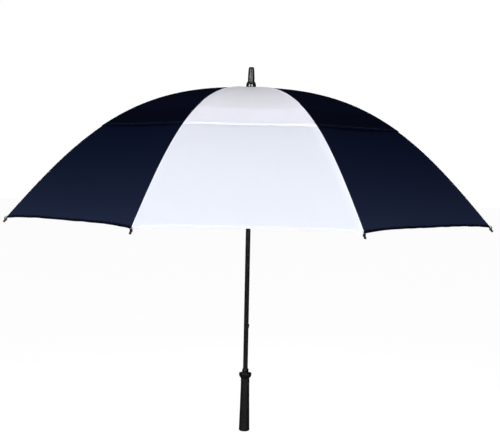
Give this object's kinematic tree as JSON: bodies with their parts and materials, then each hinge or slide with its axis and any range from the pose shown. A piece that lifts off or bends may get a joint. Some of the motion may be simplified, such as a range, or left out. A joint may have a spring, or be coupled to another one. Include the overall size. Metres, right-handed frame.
{
  "type": "golf umbrella",
  "caption": "Manual golf umbrella, open: vented two-layer canopy of alternating white and navy panels on folding ribs, straight rubber grip.",
  "frame": {"origin": "centre of the handle's flat end face, on the shaft axis", "axes": "+Z along the shaft towards the spike, -Y towards the middle of the front white panel, +X to its right"},
  "size_m": [1.2436, 1.2436, 1.016],
  "materials": {
    "shaft": "glossy black fibre-reinforced tube",
    "nylon": "moulded nylon, satin",
    "wire": "drawn wire",
    "gloss_black": "polished black moulding",
    "grip_rubber": "matt moulded rubber",
    "collar_plastic": "satin moulding",
    "catch_steel": "blued spring steel",
    "fibreglass": "pultruded fibreglass, satin black",
    "tip_plastic": "glossy moulding",
    "fabric_white": "fine plain-weave polyester, white",
    "fabric_navy": "fine plain-weave polyester, dark navy"
  },
  "bodies": {
    "shaft": {"shaft": "shaft", "crown_notch": "nylon", "crown_ring": "wire", "ferrule": "gloss_black", "ferrule_cap": "gloss_black", "handle_grip": "grip_rubber", "handle_collar": "collar_plastic"},
    "runner": {"runner": "nylon", "runner_ring": "wire"},
    "top_catch": {"top_catch": "catch_steel"},
    "bottom_catch": {"bottom_catch": "catch_steel"},
    "rib_inner_1": {"rib_inner_1": "fibreglass"},
    "rib_outer_1": {"rib_outer_1": "fibreglass", "rib_tip_1": "tip_plastic"},
    "stretcher_1": {"stretcher_1": "fibreglass"},
    "canopy_upper_1": {"canopy_upper_1": "fabric_white"},
    "canopy_lower_1": {"canopy_lower_1": "fabric_white"},
    "rib_inner_2": {"rib_inner_2": "fibreglass"},
    "rib_outer_2": {"rib_outer_2": "fibreglass", "rib_tip_2": "tip_plastic"},
    "stretcher_2": {"stretcher_2": "fibreglass"},
    "canopy_upper_2": {"canopy_upper_2": "fabric_navy"},
    "canopy_lower_2": {"canopy_lower_2": "fabric_navy"},
    "rib_inner_3": {"rib_inner_3": "fibreglass"},
    "rib_outer_3": {"rib_outer_3": "fibreglass", "rib_tip_3": "tip_plastic"},
    "stretcher_3": {"stretcher_3": "fibreglass"},
    "canopy_upper_3": {"canopy_upper_3": "fabric_white"},
    "canopy_lower_3": {"canopy_lower_3": "fabric_white"},
    "rib_inner_4": {"rib_inner_4": "fibreglass"},
    "rib_outer_4": {"rib_outer_4": "fibreglass", "rib_tip_4": "tip_plastic"},
    "stretcher_4": {"stretcher_4": "fibreglass"},
    "canopy_upper_4": {"canopy_upper_4": "fabric_navy"},
    "canopy_lower_4": {"canopy_lower_4": "fabric_navy"},
    "rib_inner_5": {"rib_inner_5": "fibreglass"},
    "rib_outer_5": {"rib_outer_5": "fibreglass", "rib_tip_5": "tip_plastic"},
    "stretcher_5": {"stretcher_5": "fibreglass"},
    "canopy_upper_5": {"canopy_upper_5": "fabric_white"},
    "canopy_lower_5": {"canopy_lower_5": "fabric_white", "tie_strap": "fabric_white"},
    "rib_inner_6": {"rib_inner_6": "fibreglass"},
    "rib_outer_6": {"rib_outer_6": "fibreglass", "rib_tip_6": "tip_plastic"},
    "stretcher_6": {"stretcher_6": "fibreglass"},
    "canopy_upper_6": {"canopy_upper_6": "fabric_navy"},
    "canopy_lower_6": {"canopy_lower_6": "fabric_navy"},
    "rib_inner_7": {"rib_inner_7": "fibreglass"},
    "rib_outer_7": {"rib_outer_7": "fibreglass", "rib_tip_7": "tip_plastic"},
    "stretcher_7": {"stretcher_7": "fibreglass"},
    "canopy_upper_7": {"canopy_upper_7": "fabric_white"},
    "canopy_lower_7": {"canopy_lower_7": "fabric_white"},
    "rib_inner_8": {"rib_inner_8": "fibreglass"},
    "rib_outer_8": {"rib_outer_8": "fibreglass", "rib_tip_8": "tip_plastic"},
    "stretcher_8": {"stretcher_8": "fibreglass"},
    "canopy_upper_8": {"canopy_upper_8": "fabric_navy"},
    "canopy_lower_8": {"canopy_lower_8": "fabric_navy"}
  },
  "joints": [
    {"name": "fold", "type": "hinge", "parent": "shaft", "child": "rib_inner_1", "pos_m": [0.00421, -0.01016, 0.95], "axis": [0.9239, 0.3827, 0], "range_deg": [0, 74.2]},
    {"name": "rib_2_fold", "type": "hinge", "parent": "shaft", "child": "rib_inner_2", "pos_m": [0.01016, -0.00421, 0.95], "axis": [0.3827, 0.9239, 0], "range_deg": [0, 74.2]},
    {"name": "rib_3_fold", "type": "hinge", "parent": "shaft", "child": "rib_inner_3", "pos_m": [0.01016, 0.00421, 0.95], "axis": [-0.3827, 0.9239, 0], "range_deg": [0, 74.2]},
    {"name": "rib_4_fold", "type": "hinge", "parent": "shaft", "child": "rib_inner_4", "pos_m": [0.00421, 0.01016, 0.95], "axis": [-0.9239, 0.3827, 0], "range_deg": [0, 74.2]},
    {"name": "rib_5_fold", "type": "hinge", "parent": "shaft", "child": "rib_inner_5", "pos_m": [-0.00421, 0.01016, 0.95], "axis": [-0.9239, -0.3827, 0], "range_deg": [0, 74.2]},
    {"name": "rib_6_fold", "type": "hinge", "parent": "shaft", "child": "rib_inner_6", "pos_m": [-0.01016, 0.00421, 0.95], "axis": [-0.3827, -0.9239, 0], "range_deg": [0, 74.2]},
    {"name": "rib_7_fold", "type": "hinge", "parent": "shaft", "child": "rib_inner_7", "pos_m": [-0.01016, -0.00421, 0.95], "axis": [0.3827, -0.9239, 0], "range_deg": [0, 74.2]},
    {"name": "rib_8_fold", "type": "hinge", "parent": "shaft", "child": "rib_inner_8", "pos_m": [-0.00421, -0.01016, 0.95], "axis": [0.9239, -0.3827, 0], "range_deg": [0, 74.2]},
    {"name": "rib_1_flex", "type": "hinge", "parent": "rib_inner_1", "child": "rib_outer_1", "pos_m": [0.12263, -0.29606, 0.89376], "axis": [0.9239, 0.3827, 0], "range_deg": [-25.84, 0]},
    {"name": "rib_2_flex", "type": "hinge", "parent": "rib_inner_2", "child": "rib_outer_2", "pos_m": [0.29606, -0.12263, 0.89376], "axis": [0.3827, 0.9239, 0], "range_deg": [-25.84, 0]},
    {"name": "rib_3_flex", "type": "hinge", "parent": "rib_inner_3", "child": "rib_outer_3", "pos_m": [0.29606, 0.12263, 0.89376], "axis": [-0.3827, 0.9239, 0], "range_deg": [-25.84, 0]},
    {"name": "rib_4_flex", "type": "hinge", "parent": "rib_inner_4", "child": "rib_outer_4", "pos_m": [0.12263, 0.29606, 0.89376], "axis": [-0.9239, 0.3827, 0], "range_deg": [-25.84, 0]},
    {"name": "rib_5_flex", "type": "hinge", "parent": "rib_inner_5", "child": "rib_outer_5", "pos_m": [-0.12263, 0.29606, 0.89376], "axis": [-0.9239, -0.3827, 0], "range_deg": [-25.84, 0]},
    {"name": "rib_6_flex", "type": "hinge", "parent": "rib_inner_6", "child": "rib_outer_6", "pos_m": [-0.29606, 0.12263, 0.89376], "axis": [-0.3827, -0.9239, 0], "range_deg": [-25.84, 0]},
    {"name": "rib_7_flex", "type": "hinge", "parent": "rib_inner_7", "child": "rib_outer_7", "pos_m": [-0.29606, -0.12263, 0.89376], "axis": [0.3827, -0.9239, 0], "range_deg": [-25.84, 0]},
    {"name": "rib_8_flex", "type": "hinge", "parent": "rib_inner_8", "child": "rib_outer_8", "pos_m": [-0.12263, -0.29606, 0.89376], "axis": [0.9239, -0.3827, 0], "range_deg": [-25.84, 0]},
    {"name": "stretcher_1_pivot", "type": "hinge", "parent": "rib_inner_1", "child": "stretcher_1", "pos_m": [0.1166, -0.28149, 0.88877], "axis": [0.9239, 0.3827, 0], "range_deg": [-148.41, 0]},
    {"name": "stretcher_2_pivot", "type": "hinge", "parent": "rib_inner_2", "child": "stretcher_2", "pos_m": [0.28149, -0.1166, 0.88877], "axis": [0.3827, 0.9239, 0], "range_deg": [-148.41, 0]},
    {"name": "stretcher_3_pivot", "type": "hinge", "parent": "rib_inner_3", "child": "stretcher_3", "pos_m": [0.28149, 0.1166, 0.88877], "axis": [-0.3827, 0.9239, 0], "range_deg": [-148.41, 0]},
    {"name": "stretcher_4_pivot", "type": "hinge", "parent": "rib_inner_4", "child": "stretcher_4", "pos_m": [0.1166, 0.28149, 0.88877], "axis": [-0.9239, 0.3827, 0], "range_deg": [-148.41, 0]},
    {"name": "stretcher_5_pivot", "type": "hinge", "parent": "rib_inner_5", "child": "stretcher_5", "pos_m": [-0.1166, 0.28149, 0.88877], "axis": [-0.9239, -0.3827, 0], "range_deg": [-148.41, 0]},
    {"name": "stretcher_6_pivot", "type": "hinge", "parent": "rib_inner_6", "child": "stretcher_6", "pos_m": [-0.28149, 0.1166, 0.88877], "axis": [-0.3827, -0.9239, 0], "range_deg": [-148.41, 0]},
    {"name": "stretcher_7_pivot", "type": "hinge", "parent": "rib_inner_7", "child": "stretcher_7", "pos_m": [-0.28149, -0.1166, 0.88877], "axis": [0.3827, -0.9239, 0], "range_deg": [-148.41, 0]},
    {"name": "stretcher_8_pivot", "type": "hinge", "parent": "rib_inner_8", "child": "stretcher_8", "pos_m": [-0.1166, -0.28149, 0.88877], "axis": [0.9239, -0.3827, 0], "range_deg": [-148.41, 0]},
    {"name": "runner_pivot", "type": "hinge", "parent": "stretcher_1", "child": "runner", "pos_m": [0.00421, -0.01016, 0.82754], "axis": [0.9239, 0.3827, 0], "range_deg": [0, 74.21]},
    {"name": "canopy_upper_1_fold", "type": "hinge", "parent": "shaft", "child": "canopy_upper_1", "pos_m": [0, -0.011, 0.9578], "axis": [1, 0, 0], "range_deg": [0, 65.43], "deforming": ["canopy_upper_1"]},
    {"name": "canopy_upper_2_fold", "type": "hinge", "parent": "shaft", "child": "canopy_upper_2", "pos_m": [0.00778, -0.00778, 0.9578], "axis": [0.7071, 0.7071, 0], "range_deg": [0, 65.43], "deforming": ["canopy_upper_2"]},
    {"name": "canopy_upper_3_fold", "type": "hinge", "parent": "shaft", "child": "canopy_upper_3", "pos_m": [0.011, 0, 0.9578], "axis": [0, 1, 0], "range_deg": [0, 65.43], "deforming": ["canopy_upper_3"]},
    {"name": "canopy_upper_4_fold", "type": "hinge", "parent": "shaft", "child": "canopy_upper_4", "pos_m": [0.00778, 0.00778, 0.9578], "axis": [-0.7071, 0.7071, 0], "range_deg": [0, 65.43], "deforming": ["canopy_upper_4"]},
    {"name": "canopy_upper_5_fold", "type": "hinge", "parent": "shaft", "child": "canopy_upper_5", "pos_m": [0, 0.011, 0.9578], "axis": [-1, 0, 0], "range_deg": [0, 65.43], "deforming": ["canopy_upper_5"]},
    {"name": "canopy_upper_6_fold", "type": "hinge", "parent": "shaft", "child": "canopy_upper_6", "pos_m": [-0.00778, 0.00778, 0.9578], "axis": [-0.7071, -0.7071, 0], "range_deg": [0, 65.43], "deforming": ["canopy_upper_6"]},
    {"name": "canopy_upper_7_fold", "type": "hinge", "parent": "shaft", "child": "canopy_upper_7", "pos_m": [-0.011, 0, 0.9578], "axis": [0, -1, 0], "range_deg": [0, 65.43], "deforming": ["canopy_upper_7"]},
    {"name": "canopy_upper_8_fold", "type": "hinge", "parent": "shaft", "child": "canopy_upper_8", "pos_m": [-0.00778, -0.00778, 0.9578], "axis": [0.7071, -0.7071, 0], "range_deg": [0, 65.43], "deforming": ["canopy_upper_8"]},
    {"name": "canopy_lower_1_fold", "type": "hinge", "parent": "canopy_upper_1", "child": "canopy_lower_1", "pos_m": [0, -0.47453, 0.9656], "axis": [1, 0, 0], "range_deg": [-19.68, 0], "deforming": ["canopy_lower_1"]},
    {"name": "canopy_lower_2_fold", "type": "hinge", "parent": "canopy_upper_2", "child": "canopy_lower_2", "pos_m": [0.33555, -0.33555, 0.9656], "axis": [0.7071, 0.7071, 0], "range_deg": [-19.68, 0], "deforming": ["canopy_lower_2"]},
    {"name": "canopy_lower_3_fold", "type": "hinge", "parent": "canopy_upper_3", "child": "canopy_lower_3", "pos_m": [0.47453, 0, 0.9656], "axis": [0, 1, 0], "range_deg": [-19.68, 0], "deforming": ["canopy_lower_3"]},
    {"name": "canopy_lower_4_fold", "type": "hinge", "parent": "canopy_upper_4", "child": "canopy_lower_4", "pos_m": [0.33555, 0.33555, 0.9656], "axis": [-0.7071, 0.7071, 0], "range_deg": [-19.68, 0], "deforming": ["canopy_lower_4"]},
    {"name": "canopy_lower_5_fold", "type": "hinge", "parent": "canopy_upper_5", "child": "canopy_lower_5", "pos_m": [0, 0.47453, 0.9656], "axis": [-1, 0, 0], "range_deg": [-19.68, 0], "deforming": ["canopy_lower_5", "tie_strap"]},
    {"name": "canopy_lower_6_fold", "type": "hinge", "parent": "canopy_upper_6", "child": "canopy_lower_6", "pos_m": [-0.33555, 0.33555, 0.9656], "axis": [-0.7071, -0.7071, 0], "range_deg": [-19.68, 0], "deforming": ["canopy_lower_6"]},
    {"name": "canopy_lower_7_fold", "type": "hinge", "parent": "canopy_upper_7", "child": "canopy_lower_7", "pos_m": [-0.47453, 0, 0.9656], "axis": [0, -1, 0], "range_deg": [-19.68, 0], "deforming": ["canopy_lower_7"]},
    {"name": "canopy_lower_8_fold", "type": "hinge", "parent": "canopy_upper_8", "child": "canopy_lower_8", "pos_m": [-0.33555, -0.33555, 0.9656], "axis": [0.7071, -0.7071, 0], "range_deg": [-19.68, 0], "deforming": ["canopy_lower_8"]},
    {"name": "top_catch_press", "type": "slide", "parent": "shaft", "child": "top_catch", "axis": [-1, 0, 0], "range_m": [0, 0.0022], "stiffness_N_per_m": 900},
    {"name": "bottom_catch_press", "type": "slide", "parent": "shaft", "child": "bottom_catch", "axis": [-1, 0, 0], "range_m": [0, 0.0022], "stiffness_N_per_m": 900}
  ],
  "couplings": [
    {"joint": "rib_2_fold", "follows": "fold", "ratio": 1},
    {"joint": "rib_3_fold", "follows": "fold", "ratio": 1},
    {"joint": "rib_4_fold", "follows": "fold", "ratio": 1},
    {"joint": "rib_5_fold", "follows": "fold", "ratio": 1},
    {"joint": "rib_6_fold", "follows": "fold", "ratio": 1},
    {"joint": "rib_7_fold", "follows": "fold", "ratio": 1},
    {"joint": "rib_8_fold", "follows": "fold", "ratio": 1},
    {"joint": "rib_1_flex", "follows": "fold", "ratio": -0.34819},
    {"joint": "rib_2_flex", "follows": "fold", "ratio": -0.34819},
    {"joint": "rib_3_flex", "follows": "fold", "ratio": -0.34819},
    {"joint": "rib_4_flex", "follows": "fold", "ratio": -0.34819},
    {"joint": "rib_5_flex", "follows": "fold", "ratio": -0.34819},
    {"joint": "rib_6_flex", "follows": "fold", "ratio": -0.34819},
    {"joint": "rib_7_flex", "follows": "fold", "ratio": -0.34819},
    {"joint": "rib_8_flex", "follows": "fold", "ratio": -0.34819},
    {"joint": "stretcher_1_pivot", "follows": "fold", "ratio": -2},
    {"joint": "stretcher_2_pivot", "follows": "fold", "ratio": -2},
    {"joint": "stretcher_3_pivot", "follows": "fold", "ratio": -2},
    {"joint": "stretcher_4_pivot", "follows": "fold", "ratio": -2},
    {"joint": "stretcher_5_pivot", "follows": "fold", "ratio": -2},
    {"joint": "stretcher_6_pivot", "follows": "fold", "ratio": -2},
    {"joint": "stretcher_7_pivot", "follows": "fold", "ratio": -2},
    {"joint": "stretcher_8_pivot", "follows": "fold", "ratio": -2},
    {"joint": "runner_pivot", "follows": "fold", "ratio": 1},
    {"joint": "canopy_upper_1_fold", "follows": "fold", "ratio": 0.88167},
    {"joint": "canopy_upper_2_fold", "follows": "fold", "ratio": 0.88167},
    {"joint": "canopy_upper_3_fold", "follows": "fold", "ratio": 0.88167},
    {"joint": "canopy_upper_4_fold", "follows": "fold", "ratio": 0.88167},
    {"joint": "canopy_upper_5_fold", "follows": "fold", "ratio": 0.88167},
    {"joint": "canopy_upper_6_fold", "follows": "fold", "ratio": 0.88167},
    {"joint": "canopy_upper_7_fold", "follows": "fold", "ratio": 0.88167},
    {"joint": "canopy_upper_8_fold", "follows": "fold", "ratio": 0.88167},
    {"joint": "canopy_lower_1_fold", "follows": "fold", "ratio": -0.2652},
    {"joint": "canopy_lower_2_fold", "follows": "fold", "ratio": -0.2652},
    {"joint": "canopy_lower_3_fold", "follows": "fold", "ratio": -0.2652},
    {"joint": "canopy_lower_4_fold", "follows": "fold", "ratio": -0.2652},
    {"joint": "canopy_lower_5_fold", "follows": "fold", "ratio": -0.2652},
    {"joint": "canopy_lower_6_fold", "follows": "fold", "ratio": -0.2652},
    {"joint": "canopy_lower_7_fold", "follows": "fold", "ratio": -0.2652},
    {"joint": "canopy_lower_8_fold", "follows": "fold", "ratio": -0.2652}
  ]
}
